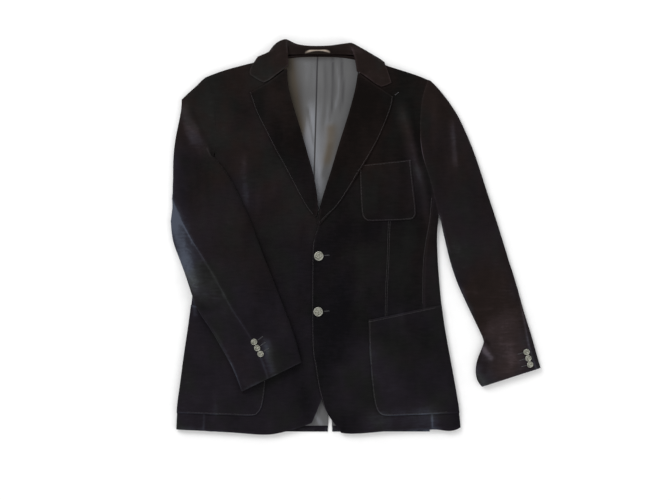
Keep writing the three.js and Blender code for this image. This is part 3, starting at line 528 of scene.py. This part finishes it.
def woven_tape(colours):
    board = Board("label")
    weave = board.noise(600.0, 1.0, 0.5, (1.0, 0.3, 1.0))
    tone = board.math("MULTIPLY", board.attribute("painted_light_and_tone"), board.math("ADD", weave, 0.5), True)
    board.join(board.ramp(tone, ((0.05, colours.label_deep), (0.85, colours.label))), "Base Color")
    board.join(board.bump(weave, 0.0002, 0.5), "Normal")
    board.set(Roughness=0.7, Sheen_Weight=0.02)
    board.shader.inputs["Specular IOR Level"].default_value = 0.06
    return board.material


def metal(colours):
    board = Board("button")
    cloud = board.noise(380.0, 3.0, 0.62)
    grain = board.noise(2200.0, 2.0, 0.6)
    dull = (0.16 * colours.button[0], 0.16 * colours.button[1], 0.14 * colours.button[2])
    rubbed = (0.52 * colours.button[0], 0.52 * colours.button[1], 0.48 * colours.button[2])
    # The raised rim of each button is painted lighter, as a highlight.
    tone = board.math("ADD", cloud, board.math("MULTIPLY", board.attribute("rim_glint"), 0.12), True)
    board.join(board.ramp(tone, ((0.34, dull), (0.50, rubbed), (0.68, colours.button))), "Base Color")
    board.join(board.bump(grain, 0.0001, 0.3, board.bump(cloud, 0.0012, 0.8)), "Normal")
    board.set(Roughness=0.36, Metallic=0.9)
    return board.material


def twisted(name, pale):
    board = Board(name)
    twist = board.noise(2500.0, 1.0, 0.5)
    shaded = tuple(0.6 * channel for channel in pale)
    board.join(board.ramp(twist, ((0.3, shaded), (0.7, pale))), "Base Color")
    board.set(Roughness=0.6, Sheen_Weight=0.05)
    return board.material


def thread(colours):
    return twisted("thread", colours.thread)


def hole_thread(colours):
    return twisted("hole_thread", colours.hole_thread)


def paper(colours):
    board = Board("backdrop")
    grain = board.noise(40.0, 2.0, 0.5)
    board.join(board.ramp(grain, ((0.0, (0.90, 0.90, 0.90)), (1.0, colours.backdrop))), "Base Color")
    board.set(Roughness=0.9)
    return board.material


FINISHES = {}


def finish_of(name):
    """The material of that finish, made once."""
    makers = {"velvet": velvet, "lining": satin, "label": woven_tape, "button": metal, "thread": thread,
              "hole_thread": hole_thread}
    if name not in FINISHES:
        FINISHES[name] = makers[name](bpy.context.scene.blazer_colours)
    return FINISHES[name]


# Cloth


def curve_points(row, count=24):
    """Points along a crease's curve, which passes through its three points."""
    p0, p1, p2 = (np.array(p, float) for p in ((row.x0, row.y0), (row.x1, row.y1), (row.x2, row.y2)))
    middle = 2.0 * p1 - 0.5 * (p0 + p2)
    t = np.linspace(0.0, 1.0, count)[:, None]
    return (1 - t) ** 2 * p0 + 2 * t * (1 - t) * middle + t**2 * p2


def spread_of(rows, x, y, ease=0.34):
    """Sum of the creases or strokes at garment points: their heights in mm, or tones."""
    total = np.zeros_like(x)
    for row in rows:
        line = curve_points(row)
        reach = 2.4 * max(row.near, row.far)
        lo, hi = line.min(0) - reach, line.max(0) + reach
        mask = (x > lo[0]) & (x < hi[0]) & (y > lo[1]) & (y < hi[1])
        if not mask.any():
            continue
        px, py = x[mask], y[mask]
        best = np.full(px.shape, 1e9)
        side = np.zeros_like(px)
        along = np.zeros_like(px)
        count = len(line) - 1
        for i in range(count):
            a, d = line[i], line[i + 1] - line[i]
            t = np.clip(((px - a[0]) * d[0] + (py - a[1]) * d[1]) / (d @ d), 0.0, 1.0)
            ex, ey = px - a[0] - t * d[0], py - a[1] - t * d[1]
            far = ex * ex + ey * ey
            nearer = far < best
            best = np.where(nearer, far, best)
            side = np.where(nearer, d[0] * ey - d[1] * ex, side)
            along = np.where(nearer, (i + t) / count, along)
        width = np.where(side > 0, row.near, row.far)
        fade = smooth(along / ease) * smooth((1.0 - along) / ease)
        total[mask] += row.rise * np.exp(-1.4 * best / width**2) * fade
    return total


def ripple(x, y, seed):
    """A slow unevenness of the cloth, from -1 to 1."""
    wide = [noise.noise(Vector((a / 46.0, b / 62.0, seed))) for a, b in zip(x, y)]
    small = [noise.noise(Vector((a / 19.0, b / 23.0, seed + 7.0))) for a, b in zip(x, y)]
    return np.array(wide) + 0.5 * np.array(small)


def tree_of(meshes):
    bm = bmesh.new()
    for mesh in meshes:
        bm.from_mesh(mesh)
    tree = BVHTree.FromBMesh(bm)
    bm.free()
    return tree


SKIN_TREES = {}


def heights_over(group, co):
    """Height of the group's upper skin over each point, in mm, and 0 beside it."""
    if group not in SKIN_TREES:
        SKIN_TREES[group] = tree_of([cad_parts[n].data for n in SKINS[group]])
    tree = SKIN_TREES[group]
    tops = np.zeros(len(co))
    for i, (x, y, _) in enumerate(co):
        hit = tree.ray_cast(Vector((x, y, RAY_START)), DOWN)[0]
        if hit is not None:
            tops[i] = hit.z / MM
    return tops


def shaped(group, co):
    """The points moved by the group's creases."""
    sizes = bpy.context.scene.blazer_sizes
    x = co[:, 0] / MM - ORIGIN[0]
    y = co[:, 1] / MM - ORIGIN[1]
    z = co[:, 2] / MM
    if group in SKINS:
        top = heights_over(group, co)
        share = smooth((top - 4.0) / 6.0) * smooth((z - 0.3 * top) / (0.35 * top + 0.01))
        rise = spread_of(CREASES[group], x, y) * sizes.crease_depth + 0.7 * ripple(x, y, 3.1)
    elif group == "lining":
        share = smooth((z - 3.5) / 1.0)
        rise = spread_of(CREASES[group], x, y) * sizes.crease_depth
    else:
        share = np.zeros_like(x)
        rise = share
    moved = co.copy()
    moved[:, 2] += rise * share * MM
    return moved


# Edges that turn by more than these angles are rims: for a painted highlight, and for keeping crisp.
# FLAT_ANGLE is how far two triangles may differ and still be joined into one face.
RIM_HIGHLIGHT_ANGLE = math.radians(32)
CRISP_ANGLE = math.radians(38)
FLAT_ANGLE = math.radians(50)
SKEW_ANGLE = math.radians(120)
CRISPNESS = 0.9
RIM_HIGHLIGHT_REACH = 1.9  # mm from a rim


def rim_points(mesh):
    """Points along the sharp rims of a piece."""
    bm = bmesh.new()
    bm.from_mesh(mesh)
    out = []
    for edge in bm.edges:
        if len(edge.link_faces) == 2 and edge.calc_face_angle(0.0) > RIM_HIGHLIGHT_ANGLE:
            out.append(edge.verts[0].co.copy())
            out.append((edge.verts[0].co + edge.verts[1].co) / 2)
    bm.free()
    return out


def write_tones(mesh, cut, co):
    """Stores the painted light and shade, the painted highlight on rims, the warmth and the lining's painted
    warm light and shade.
    """
    x = co[:, 0] / MM - ORIGIN[0]
    y = co[:, 1] / MM - ORIGIN[1]
    # The strokes' painted highlights and painted shade, with each piece's shade.
    values = {"painted_light_and_tone": spread_of(PAINTED_LIGHT_AND_TONE.get(cut.group, ()), x, y, 0.25) + cut.shade}
    if cut.group == "lining":
        # The painted warm light and shade on the lining.
        values["warm_light_and_shade"] = np.clip(spread_of(WARM_LIGHT_AND_SHADE, x, y, 0.2), 0.0, 1.0)
    elif cut.group != "label":
        rims = rim_points(mesh)
        tree = KDTree(len(rims))
        for i, point in enumerate(rims):
            tree.insert(point, i)
        tree.balance()
        away = np.array([tree.find(Vector(p))[2] for p in co]) / MM
        pressed = np.clip(spread_of(PRESSED.get(cut.group, ()), x, y, 0.08), 0.0, 1.0)
        # A painted highlight along the rims, left off where a seam is pressed flat.
        values["rim_highlight"] = np.exp(-((away / RIM_HIGHLIGHT_REACH) ** 2)) * (1.0 - pressed)
        values["warmed"] = spread_of(WARMED.get(cut.group, ()), x, y, 0.25)
    for name, value in values.items():
        tone = mesh.attributes.new(name, "FLOAT", "POINT")
        tone.data.foreach_set("value", value)


def cloth_of(cut, finish):
    """One piece of cloth: the CAD node's own form, made finer, softened and creased."""
    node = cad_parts[cut.node]
    bm = bmesh.new()
    bm.from_mesh(node.data)
    bmesh.ops.remove_doubles(bm, verts=bm.verts[:], dist=1e-6)
    bmesh.ops.join_triangles(bm, faces=bm.faces[:], angle_face_threshold=FLAT_ANGLE,
                             angle_shape_threshold=SKEW_ANGLE)
    rims = bm.edges.layers.float.new("crease_edge")
    corners = bm.verts.layers.float.new("crease_vert")
    sharp = [e for e in bm.edges if len(e.link_faces) == 2 and e.calc_face_angle(0.0) > CRISP_ANGLE]
    for edge in sharp:
        edge[rims] = CRISPNESS
    met = Counter(v for e in sharp for v in e.verts)
    for vert, count in met.items():
        if count > 2:
            vert[corners] = 1.0
    mesh = bpy.data.meshes.new(cut.node + "_cloth")
    bm.to_mesh(mesh)
    bm.free()
    piece = bpy.data.objects.new(cut.node + "_cloth", mesh)
    bpy.context.scene.collection.objects.link(piece)
    finer = piece.modifiers.new("Finer", "SUBSURF")
    finer.levels = cut.levels
    finer.render_levels = cut.levels
    depsgraph = bpy.context.evaluated_depsgraph_get()
    fine = bpy.data.meshes.new_from_object(piece.evaluated_get(depsgraph))
    piece.modifiers.clear()
    piece.data = fine
    bpy.data.meshes.remove(mesh)
    fine.name = cut.node + "_cloth"
    co = np.empty(len(fine.vertices) * 3)
    fine.vertices.foreach_get("co", co)
    co = shaped(cut.group, co.reshape(-1, 3))
    write_tones(fine, cut, co)
    fine.vertices.foreach_set("co", co.ravel())
    fine.polygons.foreach_set("use_smooth", np.ones(len(fine.polygons), bool))
    fine.materials.clear()
    fine.materials.append(finish_of(finish))
    fine.update()
    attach(piece, "root")
    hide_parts(cut.node)
    return piece


SEAM_PULL = 0.54  # share of the gap that each of the two rims is drawn across


def sew(seam):
    """Draws the rims of two pieces together along their seam."""
    meshes = [bpy.data.objects[n + "_cloth"].data for n in (seam.first, seam.second)]
    trees = [tree_of([m]) for m in meshes]
    reach = seam.reach * MM
    lowest = (seam.lowest + ORIGIN[1]) * MM
    for mesh, tree in zip(meshes, reversed(trees)):
        for vert in mesh.vertices:
            if vert.co.y < lowest:
                continue
            near, _, _, away = tree.find_nearest(vert.co, reach)
            if near is not None:
                pull = SEAM_PULL * float(smooth(2.0 - 2.0 * away / reach))
                vert.co += (near - vert.co) * pull
        mesh.update()


def cut_named(name):
    return next(c for c in CUTS if c.node == name)


def dress(names, finish):
    return [cloth_of(cut_named(name), finish) for name in names]


def cloth_tree(names):
    """What lies on top, for putting sewing and buttons on."""
    return tree_of([bpy.data.objects[n + "_cloth"].data for n in names])


# Sewing


def spaced(points, step):
    """Points a step apart on a smooth line through the given points."""
    pts = [Vector((*p, 0.0)) for p in points]
    pts = [2 * pts[0] - pts[1], *pts, 2 * pts[-1] - pts[-2]]
    dense = []
    for a, b, c, d in zip(pts, pts[1:], pts[2:], pts[3:]):
        turn = (b - a).angle(c - b, 0.0) > 0.5
        start = (c - b) * 0.5 if turn else (c - a) * 0.5
        stop = (c - b) * 0.5 if (c - b).angle(d - c, 0.0) > 0.5 else (d - b) * 0.5
        for k in range(24):
            t = k / 24
            dense.append(
                (2 * t**3 - 3 * t**2 + 1) * b + (t**3 - 2 * t**2 + t) * start + (3 * t**2 - 2 * t**3) * c
                + (t**3 - t**2) * stop
            )
    dense.append(pts[-2])
    out, left = [], 0.0
    for a, b in zip(dense, dense[1:]):
        length = (b - a).length
        while left < length:
            out.append((a.lerp(b, left / length), (b - a).normalized()))
            left += step
        left -= length
    return out


def stitch(bm, tree, place, run, length, width):
    """One stitch, an oval lying on the cloth along its run."""
    hit, normal, _, _ = tree.ray_cast(at(place.x, place.y, RAY_START), DOWN)
    if hit is None:
        return
    run = (run - normal * run.dot(normal)).normalized()
    across = normal.cross(run)
    turn = Matrix((run, across, normal)).transposed().to_4x4()
    size = Matrix.Diagonal((length * MM / 2, width * MM / 2, width * MM * 0.35, 1.0))
    bmesh.ops.create_uvsphere(bm, u_segments=6, v_segments=4, radius=1.0,
                              matrix=Matrix.Translation(hit + normal * width * MM * 0.12) @ turn @ size)


def row_of_stitches(bm, tree, row):
    sizes = bpy.context.scene.blazer_sizes
    step = sizes.stitch_width * 1.25 if row.overhand else sizes.stitch_step
    for k in range(row.rows):
        inside = row.inside + row.gap * (k if row.inside else k - 0.5)
        for place, run in spaced(row.points, step):
            right = Vector((run.y, -run.x, 0.0))
            stitch(bm, tree, place + right * inside, right if row.overhand else run,
                   sizes.stitch_length * (0.8 if row.overhand else 1.0), sizes.stitch_width)


def finished(bm, name, finish):
    """An object of that mesh, riding with the garment."""
    mesh = bpy.data.meshes.new(name)
    bm.to_mesh(mesh)
    bm.free()
    mesh.polygons.foreach_set("use_smooth", np.ones(len(mesh.polygons), bool))
    mesh.materials.append(finish_of(finish))
    piece = bpy.data.objects.new(name, mesh)
    bpy.context.scene.collection.objects.link(piece)
    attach(piece, "root")
    return piece


# Buttons

# Radius and height of a button's outline, as shares of its radius and thickness, from
# the middle of its face to the middle of its back.
OUTLINE = ((0.0, 0.80), (0.30, 0.79), (0.55, 0.72), (0.70, 0.62), (0.76, 0.66), (0.80, 0.90), (0.86, 1.0),
           (0.93, 0.98), (0.98, 0.84), (1.0, 0.55), (0.96, 0.2), (0.84, 0.0), (0.0, 0.0))
RIM_SHARE = 0.78  # where the raised rim begins, as a share of the radius
BUTTON_SEAT = 0.004  # how far a button may be moved to sit on the cloth, in metres


def button(name, tree, steps):
    lo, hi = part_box(name)
    centre = (Vector(lo) + Vector(hi)) / 2
    radius = (hi[0] - lo[0]) / 2
    thick = hi[2] - lo[2]
    hit = tree.ray_cast(Vector((centre.x, centre.y, RAY_START)), DOWN)[0]
    foot = lo[2] if hit is None else min(max(hit.z, lo[2] - BUTTON_SEAT), lo[2] + BUTTON_SEAT)
    bm = bmesh.new()
    row = [bm.verts.new((r * radius, 0.0, h * thick)) for r, h in OUTLINE]
    edges = [bm.edges.new(pair) for pair in zip(row, row[1:])]
    bmesh.ops.spin(bm, geom=row + edges, cent=(0, 0, 0), axis=(0, 0, 1), angle=2 * math.pi, steps=steps,
                   use_merge=True)
    bmesh.ops.remove_doubles(bm, verts=bm.verts[:], dist=1e-6)
    bmesh.ops.recalc_face_normals(bm, faces=bm.faces[:])
    # The raised rim is marked for its painted highlight.
    rim_glint = bm.verts.layers.float.new("rim_glint")
    for v in bm.verts:
        v[rim_glint] = 1.0 if math.hypot(v.co.x, v.co.y) > RIM_SHARE * radius else 0.0
    bmesh.ops.translate(bm, verts=bm.verts[:], vec=(centre.x, centre.y, foot))
    piece = finished(bm, name + "_metal", "button")
    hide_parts(name)
    return piece


# Sizes and colours


def colour(name, description, value):
    return bpy.props.FloatVectorProperty(name=name, description=description, subtype="COLOR", size=3, min=0.0,
                                         max=1.0, default=value)


class BlazerColours(bpy.types.PropertyGroup):
    velvet_deep: colour("Velvet, deep", "Where the pile stands and takes the light in", (0.0022, 0.0019, 0.0028))
    velvet_lit: colour("Velvet, lit", "Where the pile lies flat", (0.0108, 0.0086, 0.0122))
    # The painted highlight on the pile, from the strokes and the rims.
    velvet_highlight: colour("Velvet, brushed", "Where the pile is brushed over", (0.055, 0.063, 0.085))
    warm_deep: colour("Velvet, warm and deep", "Standing pile near the collar", (0.0030, 0.0018, 0.0015))
    warm_lit: colour("Velvet, warm and lit", "Flat pile near the collar", (0.0122, 0.0078, 0.0070))
    # The painted highlight on the warm pile near the collar.
    warm_highlight: colour("Velvet, warm and brushed", "Brushed pile near the collar", (0.062, 0.044, 0.048))
    grey_deep: colour("Velvet, grey and deep", "Standing pile in the grey patches", (0.0022, 0.0024, 0.0022))
    grey_lit: colour("Velvet, grey and lit", "Flat pile in the grey patches", (0.0092, 0.0095, 0.0088))
    # The painted highlight on the grey patches.
    grey_highlight: colour("Velvet, grey and brushed", "Brushed pile in grey patches", (0.052, 0.056, 0.052))
    thread: colour("Thread", "The sewing on the edges", (0.052, 0.047, 0.050))
    hole_thread: colour("Buttonhole thread", "The sewing round the buttonholes", (0.070, 0.070, 0.076))
    lining: colour("Lining", "The satin inside the back", (0.083, 0.083, 0.085))
    lining_lit: colour("Lining, lit", "The satin on its folds", (0.172, 0.178, 0.196))
    # The painted shadow in the lining's pleat and folds.
    lining_shadow: colour("Lining, deep", "The satin in its pleat", (0.012, 0.011, 0.014))
    # The painted warm light and shade on the lining: the lapel's brown shade and a warm reflected patch.
    lining_warm_light_and_shade: colour("Lining, yellowed", "The satin where it has aged", (0.068, 0.047, 0.022))
    label: colour("Label", "The tape at the neck", (0.42, 0.35, 0.29))
    label_deep: colour("Label, deep", "The tape's sewn border", (0.014, 0.010, 0.008))
    button: colour("Buttons", "The metal of the buttons", (0.40, 0.40, 0.355))
    backdrop: colour("Backdrop", "The paper under the garment", (0.95, 0.95, 0.95))


class BlazerSizes(bpy.types.PropertyGroup):
    crease_depth: bpy.props.FloatProperty(name="Crease depth", description="Share of each crease's own depth",
                                          default=1.0, min=0.0, max=1.5, subtype="FACTOR")
    stitch_step: bpy.props.FloatProperty(name="Stitch step", description="From one stitch to the next, in mm",
                                         default=3.0, min=1.5, max=8.0)
    stitch_length: bpy.props.FloatProperty(name="Stitch length", description="Length of a stitch, in mm",
                                           default=2.4, min=1.0, max=6.0)
    stitch_width: bpy.props.FloatProperty(name="Stitch width", description="Width of a stitch, in mm",
                                          default=0.6, min=0.2, max=1.5)


# Operators


class BLAZER_OT_panels(bpy.types.Operator):
    """Backs, side panels and fronts in velvet"""

    bl_idname = "blazer.panels"
    bl_label = "Body Panels"

    def execute(self, context):
        dress(("back_left", "back_right", "side_panel_left", "side_panel_right"), "velvet")
        dress(("front_left", "front_right"), "velvet")
        return {"FINISHED"}


class BLAZER_OT_collar(bpy.types.Operator):
    """Collar and lapels in velvet"""

    bl_idname = "blazer.collar"
    bl_label = "Collar and Lapels"

    def execute(self, context):
        dress(("lapel_left", "lapel_right", "collar"), "velvet")
        return {"FINISHED"}


class BLAZER_OT_pockets(bpy.types.Operator):
    """Chest pocket and lower pockets in velvet"""

    bl_idname = "blazer.pockets"
    bl_label = "Pockets"

    def execute(self, context):
        dress(("chest_pocket", "lower_pocket_left", "lower_pocket_right"), "velvet")
        return {"FINISHED"}


class BLAZER_OT_sleeves(bpy.types.Operator):
    """Both sleeves in velvet, each of a top and an under piece"""

    bl_idname = "blazer.sleeves"
    bl_label = "Sleeves"

    def execute(self, context):
        dress(("sleeve_left_under", "sleeve_left_top", "sleeve_right_under", "sleeve_right_top"), "velvet")
        return {"FINISHED"}


class BLAZER_OT_seams(bpy.types.Operator):
    """Seams between the panels, drawn together"""

    bl_idname = "blazer.seams"
    bl_label = "Seams"

    def execute(self, context):
        for seam in SEAMS:
            sew(seam)
        return {"FINISHED"}


class BLAZER_OT_lining(bpy.types.Operator):
    """Satin lining of the back, and the label at the neck"""

    bl_idname = "blazer.lining"
    bl_label = "Lining and Label"

    def execute(self, context):
        dress(("lining_back_left", "lining_back_right"), "lining")
        dress(("neck_label",), "label")
        return {"FINISHED"}


class BLAZER_OT_buttons(bpy.types.Operator):
    """Front and cuff buttons of metal"""

    bl_idname = "blazer.buttons"
    bl_label = "Buttons"

    def execute(self, context):
        front = cloth_tree(("front_left", "front_right"))
        for name in ("front_button_upper", "front_button_lower"):
            button(name, front, 40)
        for side in ("left", "right"):
            sleeve = cloth_tree((f"sleeve_{side}_top", f"sleeve_{side}_under"))
            for k in (1, 2, 3):
                button(f"cuff_button_{side}_{k}", sleeve, 32)
        return {"FINISHED"}


class BLAZER_OT_sewing(bpy.types.Operator):
    """Rows of stitches along the edges, the dart and the pockets"""

    bl_idname = "blazer.sewing"
    bl_label = "Sewing"

    def execute(self, context):
        for row in SEWING:
            bm = bmesh.new()
            row_of_stitches(bm, cloth_tree(row.on), row)
            if not bm.verts:
                raise RuntimeError(row.name + " met no cloth")
            finished(bm, "sewing_" + row.name, "hole_thread" if row.overhand else "thread")
        return {"FINISHED"}


# The stage, in metres, with the lens and its sensor in mm and the lamps' power in watts.
Lamp = namedtuple("Lamp", "name place size power")
LAMPS = (
    Lamp("key_light", (-1.6, 1.9, 2.4), 1.6, 55.0),
    Lamp("fill_light", (1.9, -1.2, 2.2), 2.2, 18.0),
)
SKY_STRENGTH = 0.75
BACKDROP_REACH = 6.0
BACKDROP_DROP = 0.0006
LENS = 110.0
SENSOR = 36.0
# The camera looks straight down and sees VIEW_WIDTH across at the cloth's middle height.
VIEW_MIDDLE = (-0.0414, -0.0256)
VIEW_WIDTH = 1.340
CLOTH_HEIGHT = 0.012


class BLAZER_OT_stage(bpy.types.Operator):
    """Backdrop, lights and camera"""

    bl_idname = "blazer.stage"
    bl_label = "Stage"

    def execute(self, context):
        scene = context.scene
        bm = bmesh.new()
        bmesh.ops.create_grid(bm, x_segments=1, y_segments=1, size=BACKDROP_REACH,
                              matrix=Matrix.Translation((0, 0, -BACKDROP_DROP)))
        mesh = bpy.data.meshes.new("backdrop")
        bm.to_mesh(mesh)
        bm.free()
        mesh.materials.append(paper(scene.blazer_colours))
        floor = bpy.data.objects.new("backdrop", mesh)
        scene.collection.objects.link(floor)
        world = bpy.data.worlds.new("soft_light")
        world.use_nodes = True
        world.node_tree.nodes["Background"].inputs["Color"].default_value = (1.0, 1.0, 1.0, 1.0)
        world.node_tree.nodes["Background"].inputs["Strength"].default_value = SKY_STRENGTH
        scene.world = world
        for lamp in LAMPS:
            light = bpy.data.lights.new(lamp.name, "AREA")
            light.size = lamp.size
            light.energy = lamp.power
            holder = bpy.data.objects.new(lamp.name, light)
            holder.location = lamp.place
            holder.rotation_euler = (-Vector(lamp.place)).to_track_quat("-Z", "Y").to_euler()
            scene.collection.objects.link(holder)
        camera = bpy.data.cameras.new("camera")
        camera.lens = LENS
        camera.sensor_width = SENSOR
        camera.clip_end = 50.0
        rig = bpy.data.objects.new("camera", camera)
        rig.location = (*VIEW_MIDDLE, VIEW_WIDTH * LENS / SENSOR + CLOTH_HEIGHT)
        scene.collection.objects.link(rig)
        scene.camera = rig
        scene.view_settings.view_transform = "Standard"
        return {"FINISHED"}


class BLAZER_PT_panel(bpy.types.Panel):
    """Sizes, colours and pieces of the blazer"""

    bl_idname = "BLAZER_PT_panel"
    bl_label = "Blazer"
    bl_space_type = "VIEW_3D"
    bl_region_type = "UI"
    bl_category = "Blazer"

    def draw(self, context):
        for group in (context.scene.blazer_sizes, context.scene.blazer_colours):
            box = self.layout.box()
            for key in group.__annotations__:
                box.prop(group, key)
        for operator in OPERATORS:
            self.layout.operator(operator.bl_idname)


OPERATORS = (
    BLAZER_OT_lining,
    BLAZER_OT_panels,
    BLAZER_OT_collar,
    BLAZER_OT_pockets,
    BLAZER_OT_sleeves,
    BLAZER_OT_seams,
    BLAZER_OT_buttons,
    BLAZER_OT_sewing,
    BLAZER_OT_stage,
)
CLASSES = (BlazerColours, BlazerSizes, *OPERATORS, BLAZER_PT_panel)


def register():
    for cls in CLASSES:
        bpy.utils.register_class(cls)
    bpy.types.Scene.blazer_colours = bpy.props.PointerProperty(type=BlazerColours)
    bpy.types.Scene.blazer_sizes = bpy.props.PointerProperty(type=BlazerSizes)


def unregister():
    del bpy.types.Scene.blazer_sizes
    del bpy.types.Scene.blazer_colours
    for cls in reversed(CLASSES):
        bpy.utils.unregister_class(cls)


def main():
    register()
    bpy.ops.blazer.lining()
    bpy.ops.blazer.panels()
    bpy.ops.blazer.collar()
    bpy.ops.blazer.pockets()
    bpy.ops.blazer.sleeves()
    bpy.ops.blazer.seams()
    bpy.ops.blazer.buttons()
    bpy.ops.blazer.sewing()
    bpy.ops.blazer.stage()
    bpy.context.view_layer.update()


if __name__ == "__main__":
    main()
